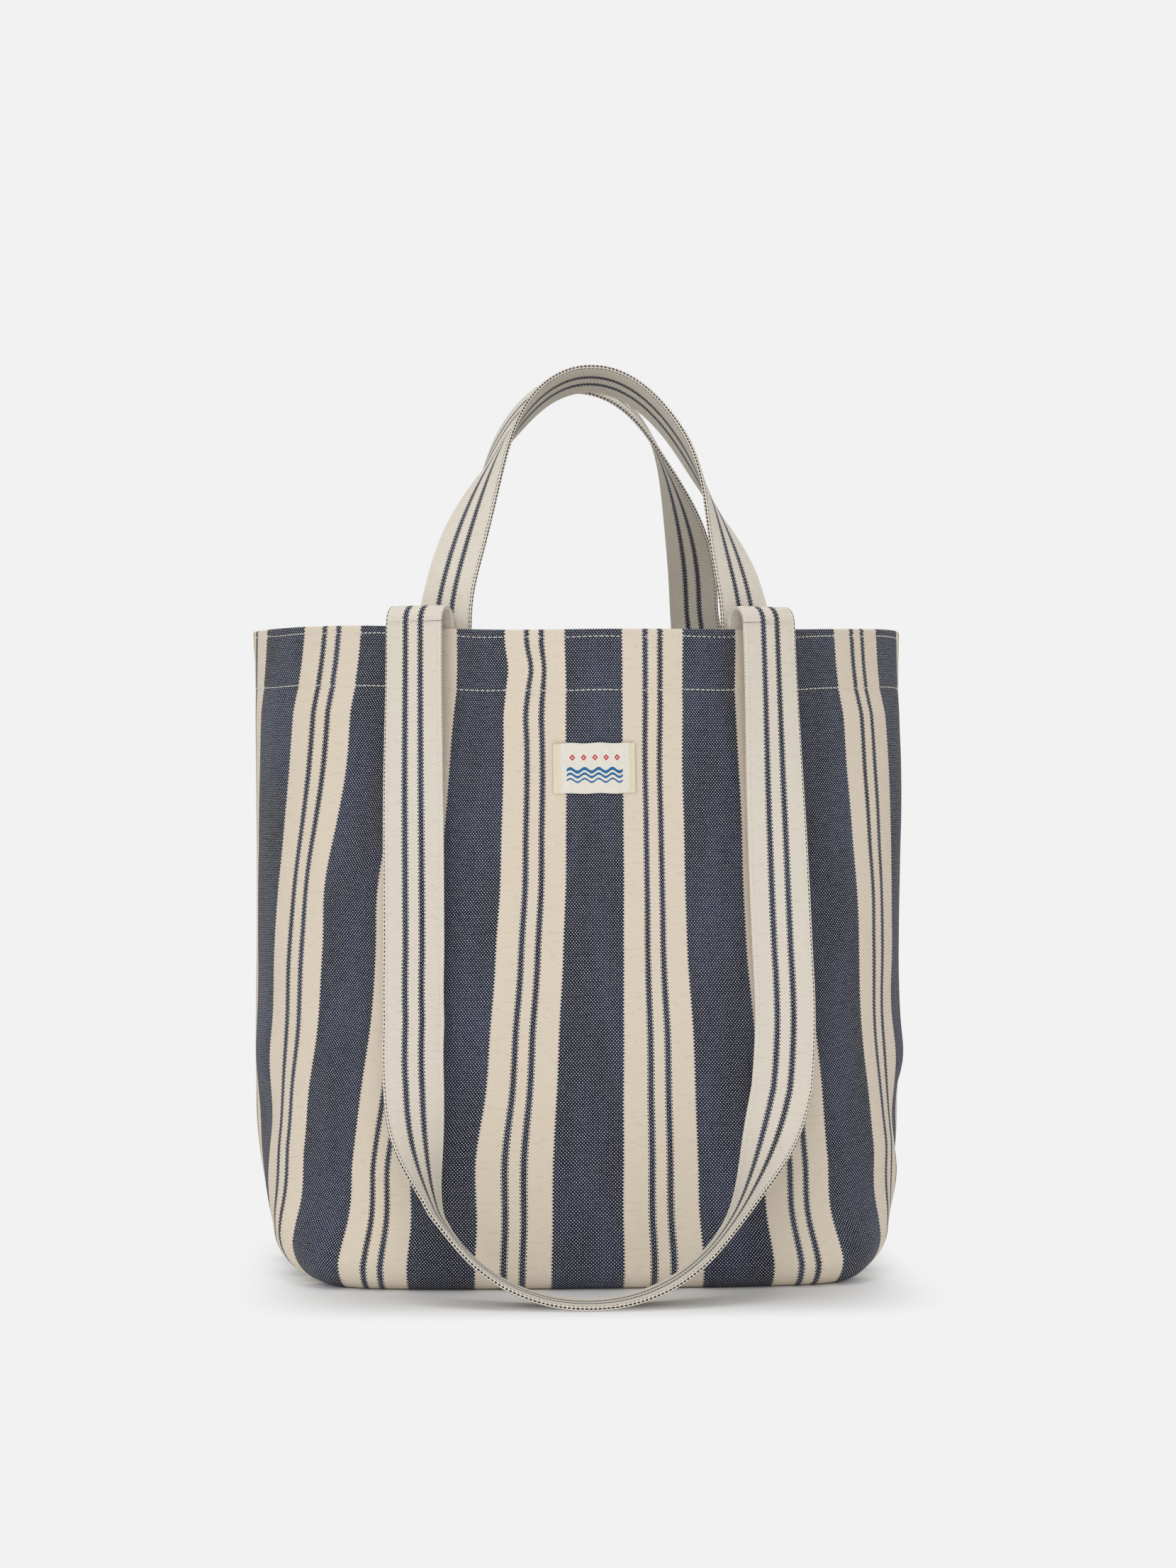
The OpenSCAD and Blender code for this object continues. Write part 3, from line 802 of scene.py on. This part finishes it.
def strap_rows(path, dirs, seed, dark_edge):
    """Edge stitching of a strap on both faces, and dark dashes along one of its edges: in the edge's groove they
    stand partly for the stitches that cross the gap between the strap's folded layers and partly for painted shade
    in that gap; dark rows lie on both faces beside them.
    """
    _, across, up = frames(path, dirs)
    parts = []
    for k, s in enumerate((-15.4, 15.4)):
        for face in (1, -1):
            p = path + across * s * MM + up * (face * 1.08) * MM
            v, f = stitch_line(p, up * face, seed + k, 3.1 * MM, 2.5 * MM, 0.55 * MM, 0.3 * MM)
            parts.append((v, f, 0))
    # painted shade: these dark dashes in the edge's groove stand for the shadowed gap between the strap's folded
    # layers, broken by the stitches that cross it
    p = path + across * dark_edge * 17.75 * MM
    v, f = stitch_line(p, across * dark_edge, seed + 7, 2.5 * MM, 1.8 * MM, 1.25 * MM, 0.5 * MM)
    parts.append((v, f, 1))
    for face in (1, -1):
        p = path + across * dark_edge * 17.1 * MM + up * face * 1.13 * MM
        v, f = stitch_line(p, up * face, seed + 11, 2.5 * MM, 1.8 * MM, 0.6 * MM, 0.3 * MM)
        parts.append((v, f, 1))
    return gather(parts)


def bezier(a, b, c, d, t):
    t = t[:, None]
    return (1 - t) ** 3 * a + 3 * (1 - t) ** 2 * t * b + 3 * (1 - t) * t * t * c + t ** 3 * d


def unit(v):
    v = np.asarray(v, float)
    return v / np.linalg.norm(v, axis=-1, keepdims=True)


def resample(path, dirs, step):
    """Evenly spaced points and directions along a path, smoothed through the corners."""
    run = distances(path)
    count = max(2, int(round(run[-1] / step)))
    s = np.linspace(0, run[-1], count + 1)
    p = np.stack([np.interp(s, run, path[:, k]) for k in range(3)], -1)
    d = np.stack([np.interp(s, run, dirs[:, k]) for k in range(3)], -1)
    for _ in range(6):
        p[1:-1] = (p[:-2] + 2 * p[1:-1] + p[2:]) / 4
        d[1:-1] = (d[:-2] + 2 * d[1:-1] + d[2:]) / 4
    return p, unit(d)


def flipped(p):
    return p * [-1, 1, 1]


# places of the straps, from the CAD nodes
SHORT_HINGE = next(j for j in frame["joints"] if j["name"] == "front_short_handle_swing")["pos_m"]
SHORT_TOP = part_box("front_short_handle")[1].z
SHORT_LEG_Y = -116.6 * MM
LEG_X, LEG_Y, LEG_SLOPE = 87.8, -113.9, 0.51    # a point on the line of the short legs along the wall, and its slope
RIM_TURN = math.radians(27)
LONG_OUT = np.array([104.8 * MM, -131.7 * MM])
LONG_IN = np.array([97.1 * MM, -116.6 * MM])
FLOOR_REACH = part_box("front_long_handle")[0].y


def short_half(foot_shift, leg_x, rise_x, crown_x, twist_from, twist_over, base_turn):
    """Right half of a short handle, from its sewn-in end to the top: points and directions of its width."""
    x = leg_x * MM
    y = (LEG_Y + LEG_SLOPE * (leg_x + foot_shift - LEG_X)) * MM
    inward = y - SHORT_LEG_Y
    hinge = np.array([x - 3 * MM, SHORT_HINGE[1] + inward, SHORT_HINGE[2]])
    top = SHORT_TOP - BAG_H
    p1 = np.array([rise_x * MM, SHORT_HINGE[1] + inward + 20 * MM, BAG_H + top * 0.43])
    p2 = np.array([crown_x * MM, -19.4 * MM, SHORT_TOP - 7.4 * MM])
    p3 = np.array([0, -17.9 * MM, SHORT_TOP - 7.4 * MM])
    t = np.linspace(0, 1, 70)
    upper = bezier(hinge, p1, p2, p3, t)
    tail = np.array([[x, y, BAG_H - 33 * MM], [x, y, BAG_H - 15 * MM], [x, y, BAG_H + 1 * MM],
                     [x - 0.9 * MM, y + 2.0 * MM, BAG_H + 9 * MM]])
    turn, tilt = math.radians(base_turn), math.radians(20)
    base = [-math.cos(turn), -math.sin(turn), 0]
    rim = [-math.cos(RIM_TURN), -math.sin(RIM_TURN), 0]
    crown = [0, -math.cos(tilt), math.sin(tilt)]
    ease = ramp((t - twist_from) / twist_over, 0, 1)[:, None]
    dirs = np.vstack([[rim, rim, rim, unit(np.add(rim, base))], unit(base * (1 - ease) + crown * ease)])
    return np.vstack([tail, upper]), dirs


def short_path(foot_shift, top_shift, right_twist, left_twist):
    """Whole short handle from its right end to its left end, standing off to the right by the two shifts."""
    right, right_dirs = short_half(foot_shift, *right_twist)
    left, left_dirs = short_half(-foot_shift, *left_twist)
    path = np.vstack([right, flipped(left[-2::-1])])
    dirs = np.vstack([right_dirs, flipped(left_dirs[-2::-1])])
    path[:, 0] += (foot_shift + (top_shift - foot_shift) * ramp(path[:, 2], BAG_H, SHORT_TOP)) * MM
    return resample(path, dirs, 4 * MM)


def long_parts(shift):
    """Hanging part of a long handle, and its right-hand fold over the rim down to the sewn-in end."""
    x, y = LONG_OUT
    mid = np.array([x + (4.2 + shift) * MM, y, BAG_H * 0.51])
    start = np.array([x, y, BAG_H + 3 * MM])
    floor_y = FLOOR_REACH + STRAP_W / 2
    low = 1.6 * MM
    bottom = bezier(mid, np.array([x + (7.2 + shift) * MM, y, BAG_H * 0.18]),
                    np.array([75 * MM, floor_y, low]), np.array([0, floor_y, low]), np.linspace(0, 1, 90))
    upper = np.linspace(start, mid, 40)[:-1]
    half = np.vstack([upper, bottom])
    f = np.linspace(0, 1, 39)
    turn = RIM_TURN * (1 - ramp(f, 0.05, 1.0))
    dirs = np.stack([np.cos(turn), np.sin(turn), 0 * turn], -1)
    t = np.linspace(0, 1, 90)
    ease = ramp((t - 0.12) / 0.5, 0, 1)[:, None]
    dirs = np.vstack([dirs, unit(np.array([1, 0, 0]) * (1 - ease) + np.array([0, -1, 0]) * ease)])
    path = np.vstack([half, flipped(half[-2::-1])])
    sway = np.vstack([dirs, flipped(dirs[-2::-1])])
    hang = resample(path, sway, 4 * MM)
    # fold over the rim
    inner = np.array([*LONG_IN, 0])
    outer = np.array([*LONG_OUT, 0])
    centre = (inner + outer) / 2
    arm = (outer - inner) / 2
    arc = []
    for phi in np.linspace(0, math.pi, 17):
        p = centre + arm * math.cos(phi)
        p[2] = BAG_H + 3 * MM + 8.4 * MM * math.sin(phi)
        arc.append(p)
    down = [inner + [0, 0, BAG_H + 3 * MM - d * MM] for d in (6, 14, 22, 30, 36)]
    fold = np.array(arc + down)
    across = np.tile([math.cos(RIM_TURN), math.sin(RIM_TURN), 0], (len(fold), 1))
    return hang, (fold, across)


SWAY_Z = np.array([0.0, 50, 120, 160, 200, 300, 420])
SWAY_RIGHT = np.array([-4.0, 2.0, 7.5, 6.5, 4.5, 2.0, 0.0])
SWAY_LEFT = np.array([-7.0, -10.0, 0.0, 4.0, 4.5, 2.0, 0.0])


def swayed(p):
    """A long handle's points as it really hangs: each leg a little to the right, along the wall."""
    right = np.interp(p[:, 2] / MM, SWAY_Z, SWAY_RIGHT)
    left = np.interp(p[:, 2] / MM, SWAY_Z, SWAY_LEFT)
    share = ramp(p[:, 0], -70 * MM, 70 * MM)
    dx = (right * share + left * (1 - share)) * MM
    p = p.copy()
    p[:, 1] += 0.45 * dx * np.clip(p[:, 0] / (90 * MM), -0.1, 1) * ramp(p[:, 2], 60 * MM, 160 * MM)
    p[:, 0] += dx
    return p


def mirror_side(p, side):
    return p if side > 0 else p * [1, -1, 1]


for side, tag in ((1, "front"), (-1, "back")):
    body = f"{tag}_short_handle"
    if side > 0:
        path, dirs = short_path(3.4, 6.5, (91, 78, 48, 0.0, 0.54, 38), (90, 76, 47, 0.10, 0.64, 38))
    else:
        path, dirs = short_path(1.0, -2.5, (84.5, 82, 57, 0.1, 0.6, 38), (83, 70, 47, 0.0, 0.6, 38))
    path, dirs = mirror_side(path, side), mirror_side(dirs, side)
    strap = strap_mesh(f"{tag}_short_strap", path, dirs, [STRAP])
    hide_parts(body, f"{body}_ends")
    verts, faces, mats = strap_rows(path, dirs, 40 + side, 1 if side > 0 else -1)
    rows = make(f"{tag}_short_strap_rows", verts, faces, None, [THREAD, DARK_THREAD_AND_GAP_SHADE],
                face_mat=mats, fix=False)
    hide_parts(f"{body}_stitching")
    for piece in (strap, rows):
        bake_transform(piece)
    path_length(path)

    body = f"{tag}_long_handle"
    (path, dirs), (fold, across) = long_parts(0 if side > 0 else 2.0)
    if side > 0:
        path = swayed(path)
    path, dirs = mirror_side(path, side), mirror_side(dirs, side)
    strap = strap_mesh(f"{tag}_long_strap", path, dirs, [STRAP])
    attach(strap, body)
    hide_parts(body)
    verts, faces, mats = strap_rows(path, dirs, 60 + side, 1 if side > 0 else -1)
    rows = make(f"{tag}_long_strap_rows", verts, faces, body, [THREAD, DARK_THREAD_AND_GAP_SHADE],
                face_mat=mats, fix=False)
    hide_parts(f"{body}_stitching")
    path_length(path)
    for hand, word in ((1, "right"), (-1, "left")):
        p, d = (fold, across) if hand > 0 else (flipped(fold), flipped(across) * -1)
        if side > 0:
            p = swayed(p)
        p, d = mirror_side(p, side), mirror_side(d, side)
        piece = strap_mesh(f"{tag}_long_strap_fold_{word}", p, d, [STRAP])
        if hand > 0:
            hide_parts(f"{body}_ends")
        verts, faces, mats = strap_rows(p, d, 80 + side + hand, hand if side > 0 else -hand)
        rows = make(f"{tag}_long_strap_fold_{word}_rows", verts, faces, None, [THREAD, DARK_THREAD_AND_GAP_SHADE],
                    face_mat=mats, fix=False)
        for part in (piece, rows):
            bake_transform(part)
        path_length(p)

# ---- woven label ---------------------------------------------------------------------------

LABEL_LO, LABEL_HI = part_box("woven_label")
LABEL_Z = (LABEL_LO.z + LABEL_HI.z) / 2


def on_front(x, z, lift):
    """Points over the front canvas, x and z in metres from the label's middle; lift above the face."""
    u = x / REPEAT
    p, n = wall_point(u, LABEL_Z + z - rim_lift(u * 0) * 0.6, 1)
    return p + n * np.asarray(lift)[..., None], n


def slab_faces(cols, rows, uv):
    """Faces and maps of a thin two-sided grid: both sides, then its border; uv(i, j) is the map at a point."""
    skip = (cols + 1) * (rows + 1)
    faces, uvs = [], []
    for i in range(rows):
        for j in range(cols):
            ring = [(i, j), (i, j + 1), (i + 1, j + 1), (i + 1, j)]
            for base in (0, skip):
                faces.append(tuple(base + r * (cols + 1) + c for r, c in ring))
                uvs.append([uv(*q) for q in ring])
    border = ([(0, j) for j in range(cols)] + [(i, cols) for i in range(rows)]
              + [(rows, j) for j in range(cols, 0, -1)] + [(i, 0) for i in range(rows, 0, -1)])
    for a, b in zip(border, border[1:] + border[:1]):
        ia, ib = a[0] * (cols + 1) + a[1], b[0] * (cols + 1) + b[1]
        faces.append((ia, ib, skip + ib, skip + ia))
        uvs.append([uv(*a), uv(*b), uv(*b), uv(*a)])
    return faces, uvs


def woven_label():
    cols, rows = 64, 34
    x = np.linspace(-0.5, 0.5, cols + 1) * LABEL_W
    z = np.linspace(-0.5, 0.5, rows + 1) * LABEL_H
    gx, gz = np.meshgrid(x, z)
    fold = ramp(np.abs(gx), LABEL_W / 2 - 5.4 * MM, LABEL_W / 2 - 4.4 * MM)
    seam = np.exp(-((np.abs(gx) - LABEL_W / 2 + 2.6 * MM) / (0.8 * MM)) ** 2)
    loose = 1 - (2 * gx / LABEL_W) ** 2
    curl = 0.5 * MM * loose * (np.abs(2 * gz / LABEL_H) ** 3) * (1 + 0.5 * np.sin(gx * 210))
    lift = 0.45 * MM + 0.35 * MM * fold - 0.35 * MM * seam + curl + 0.5 * MM * loose
    gz = gz + 0.22 * MM * np.sin(gx * 330 + 0.6) * (np.abs(2 * gz / LABEL_H) ** 4)
    thick = 0.55 * MM
    top, n = on_front(gx, gz, lift + thick)
    low, _ = on_front(gx, gz, lift)
    verts = np.vstack([top.reshape(-1, 3), low.reshape(-1, 3)])
    faces, uvs = slab_faces(cols, rows, lambda i, j: (gx[i, j] / MM, gz[i, j] / MM))
    obj = make("front_woven_label", verts, faces, "bag", [LABEL], uvs)
    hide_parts("woven_label")
    parts = []
    for k, sign in enumerate((-1, 1)):
        zs = np.linspace(-0.46, 0.46, 30) * LABEL_H
        xs = np.full_like(zs, sign * (LABEL_W / 2 - 2.6 * MM))
        p, out = on_front(xs, zs, np.full_like(zs, 1.02 * MM))
        v, f = stitch_line(p, out, 30 + k, 2.1 * MM, 1.6 * MM, 0.5 * MM, 0.34 * MM)
        parts.append((v, f, 0))
    verts, faces, _ = gather(parts)
    rows_obj = make("front_woven_label_rows", verts, faces, "bag", [THREAD], fix=False)
    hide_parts("label_stitching")


woven_label()

# ---- inside the bag: bindings and the care label -------------------------------------------

def tape_section(width, thick):
    """Closed rounded section of a tape as (across, up, map position), in metres."""
    pts = []
    for k in range(24):
        a = TAU * k / 24
        x = math.copysign(abs(math.cos(a)) ** 0.25, math.cos(a)) * width / 2
        y = math.copysign(abs(math.sin(a)) ** 0.7, math.sin(a)) * thick / 2
        pts.append((x, y, x))
    return np.array(pts)


TAPE_SECTION = tape_section(10 * MM, 1.9 * MM)


def tape(name, node, path, dirs):
    obj = strap_mesh(name, path, dirs, [TAPE], loop=TAPE_SECTION, repeat=1.0, origin=0.0)
    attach(obj, "bag")
    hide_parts(node)
    path_length(path)
    return obj


for hand, word in ((-1, "left"), (1, "right")):
    z = np.linspace(34 * MM, BAG_H - HEM_H - 2 * MM, 70)
    u = np.full_like(z, SEAM_U * 0.9995)
    p, n = wall_point(u, z, 1, CLOTH)
    path = np.stack([hand * (np.abs(p[:, 0]) - 1.35 * MM), 0 * z, p[:, 2]], -1)
    tape(f"{word}_seam_tape", f"{word}_side_binding", path, np.tile([0, -hand, 0], (len(z), 1)))
    lo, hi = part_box(f"{word}_corner_binding")
    y = np.linspace(lo.y, hi.y, 30)
    mid = (lo.x + hi.x) / 2
    path = np.stack([mid + 0 * y, y, (lo.z + 1.05 * MM) + 0.25 * MM * np.sin(y * 90)], -1)
    tape(f"{word}_corner_tape", f"{word}_corner_binding", path, np.tile([1, 0, 0], (len(y), 1)))

lo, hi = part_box("base_seam_binding")
x = np.linspace(lo.x, hi.x, 50)
path = np.stack([x, 0 * x, (lo.z + 1.05 * MM) + 0.25 * MM * np.sin(x * 60)], -1)
tape("base_seam_tape", "base_seam_binding", path, np.tile([0, 1, 0], (len(x), 1)))


def care_label():
    lo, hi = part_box("care_label")
    cols, rows = 16, 20
    y = np.linspace(lo.y, hi.y, cols + 1)
    z = np.linspace(lo.z, hi.z, rows + 1)
    gy, gz = np.meshgrid(y, z)
    t = (gy - lo.y) / (hi.y - lo.y)
    mid = (lo.x + hi.x) / 2
    bend = 1.6 * MM * t ** 2 * np.sin((gz - lo.z) / (hi.z - lo.z) * 2.4 + 0.4)
    thick = 0.3 * MM
    verts = [np.stack([mid + bend + sign * thick / 2, gy, gz], -1).reshape(-1, 3) for sign in (1, -1)]
    faces, uvs = slab_faces(cols, rows, lambda i, j: (gy[i, j], gz[i, j]))
    obj = make("inner_care_label", np.vstack(verts), faces, "care_label", [SATIN], uvs)
    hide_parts("care_label")


care_label()

# ---- floor, light and camera ---------------------------------------------------------------

BACKGROUND = 0.885


def stage_sheet(name, corners, material):
    mesh = bpy.data.meshes.new(name)
    mesh.from_pydata(corners, [], [(0, 1, 2, 3)])
    mesh.materials.append(material)
    obj = bpy.data.objects.new(name, mesh)
    bpy.context.scene.collection.objects.link(obj)
    return obj


def floor_material():
    """Pale floor; away from the bag it gives its own even light, so that only the contact shadow shows."""
    n = Nodes("floor_paint")
    split = n.tree.nodes.new("ShaderNodeSeparateXYZ")
    n.tree.links.new(n.place(), split.inputs[0])
    dx = n.math("DIVIDE", n.math("ABSOLUTE", split.outputs[0]), HALF_W * 0.80)
    dy = n.math("DIVIDE", n.math("ABSOLUTE", n.math("ADD", split.outputs[1], 0.03)), HALF_D * 1.33)
    round_box = n.math("POWER", n.math("ADD", n.math("POWER", dx, 6.0), n.math("POWER", dy, 6.0)), 1 / 6.0)
    apart = n.smooth(round_box, 0.90, 1.34)
    n.shader.inputs["Specular IOR Level"].default_value = 0.0
    n.shader.inputs["Roughness"].default_value = 1.0
    n.put(n.shader.inputs["Base Color"], n.mix(apart, (0.80, 0.80, 0.80, 1), (0.0, 0.0, 0.0, 1)))
    n.shader.inputs["Emission Color"].default_value = (1, 1, 1, 1)
    n.put(n.shader.inputs["Emission Strength"], n.math("MULTIPLY", apart, BACKGROUND))
    return n.material


def backdrop_material():
    n = Nodes("backdrop_paint")
    n.shader.inputs["Specular IOR Level"].default_value = 0.0
    n.shader.inputs["Base Color"].default_value = (0, 0, 0, 1)
    n.shader.inputs["Emission Color"].default_value = (1, 1, 1, 1)
    n.shader.inputs["Emission Strength"].default_value = BACKGROUND
    return n.material


ROOM = 14.0
stage_sheet("floor", [(-ROOM, -ROOM, 0), (ROOM, -ROOM, 0), (ROOM, ROOM, 0), (-ROOM, ROOM, 0)], floor_material())
stage_sheet("backdrop", [(-ROOM, ROOM, -1), (ROOM, ROOM, -1), (ROOM, ROOM, 9), (-ROOM, ROOM, 9)],
            backdrop_material())
scene = bpy.context.scene
world = bpy.data.worlds.new("studio")
world.use_nodes = True
world.node_tree.nodes["Background"].inputs[0].default_value = (1.0, 1.0, 1.0, 1)
world.node_tree.nodes["Background"].inputs[1].default_value = 0.38
scene.world = world


def sun(name, energy, angle, direction, colour=(1, 1, 1)):
    data = bpy.data.lights.new(name, "SUN")
    data.energy = energy
    data.angle = math.radians(angle)
    data.color = colour
    obj = bpy.data.objects.new(name, data)
    obj.rotation_mode = "QUATERNION"
    obj.rotation_quaternion = Vector(direction).to_track_quat("-Z", "Y")
    scene.collection.objects.link(obj)


sun("key", 0.65, 60, (0.30, 0.85, -0.50))
sun("top", 1.30, 40, (0.04, -0.16, -1.0))
data = bpy.data.lights.new("front_fill", "AREA")
data.shape = "RECTANGLE"
data.size, data.size_y = 3.2, 1.4
data.energy = 17
fill = bpy.data.objects.new("front_fill", data)
fill.location = (-0.4, -3.0, 0.75)
fill.rotation_euler = (math.radians(85), 0, 0)
scene.collection.objects.link(fill)

CAMERA_DISTANCE = 2.35
CAMERA_TURN = 0.060        # how far the camera stands to the bag's left, in radians
CAMERA_HEIGHT = 0.2995
data = bpy.data.cameras.new("camera")
data.lens = 86.45
data.sensor_width = 36.0
camera = bpy.data.objects.new("camera", data)
camera.location = (-CAMERA_DISTANCE * math.sin(CAMERA_TURN), -CAMERA_DISTANCE * math.cos(CAMERA_TURN),
                   CAMERA_HEIGHT)
aim = CAMERA_TURN + 0.0027
camera.rotation_mode = "QUATERNION"
camera.rotation_quaternion = Vector((math.sin(aim), math.cos(aim), 0)).to_track_quat("-Z", "Y")
data.clip_start, data.clip_end = 0.05, 60
scene.collection.objects.link(camera)
scene.camera = camera
scene.view_settings.view_transform = "Standard"
scene.view_settings.look = "None"
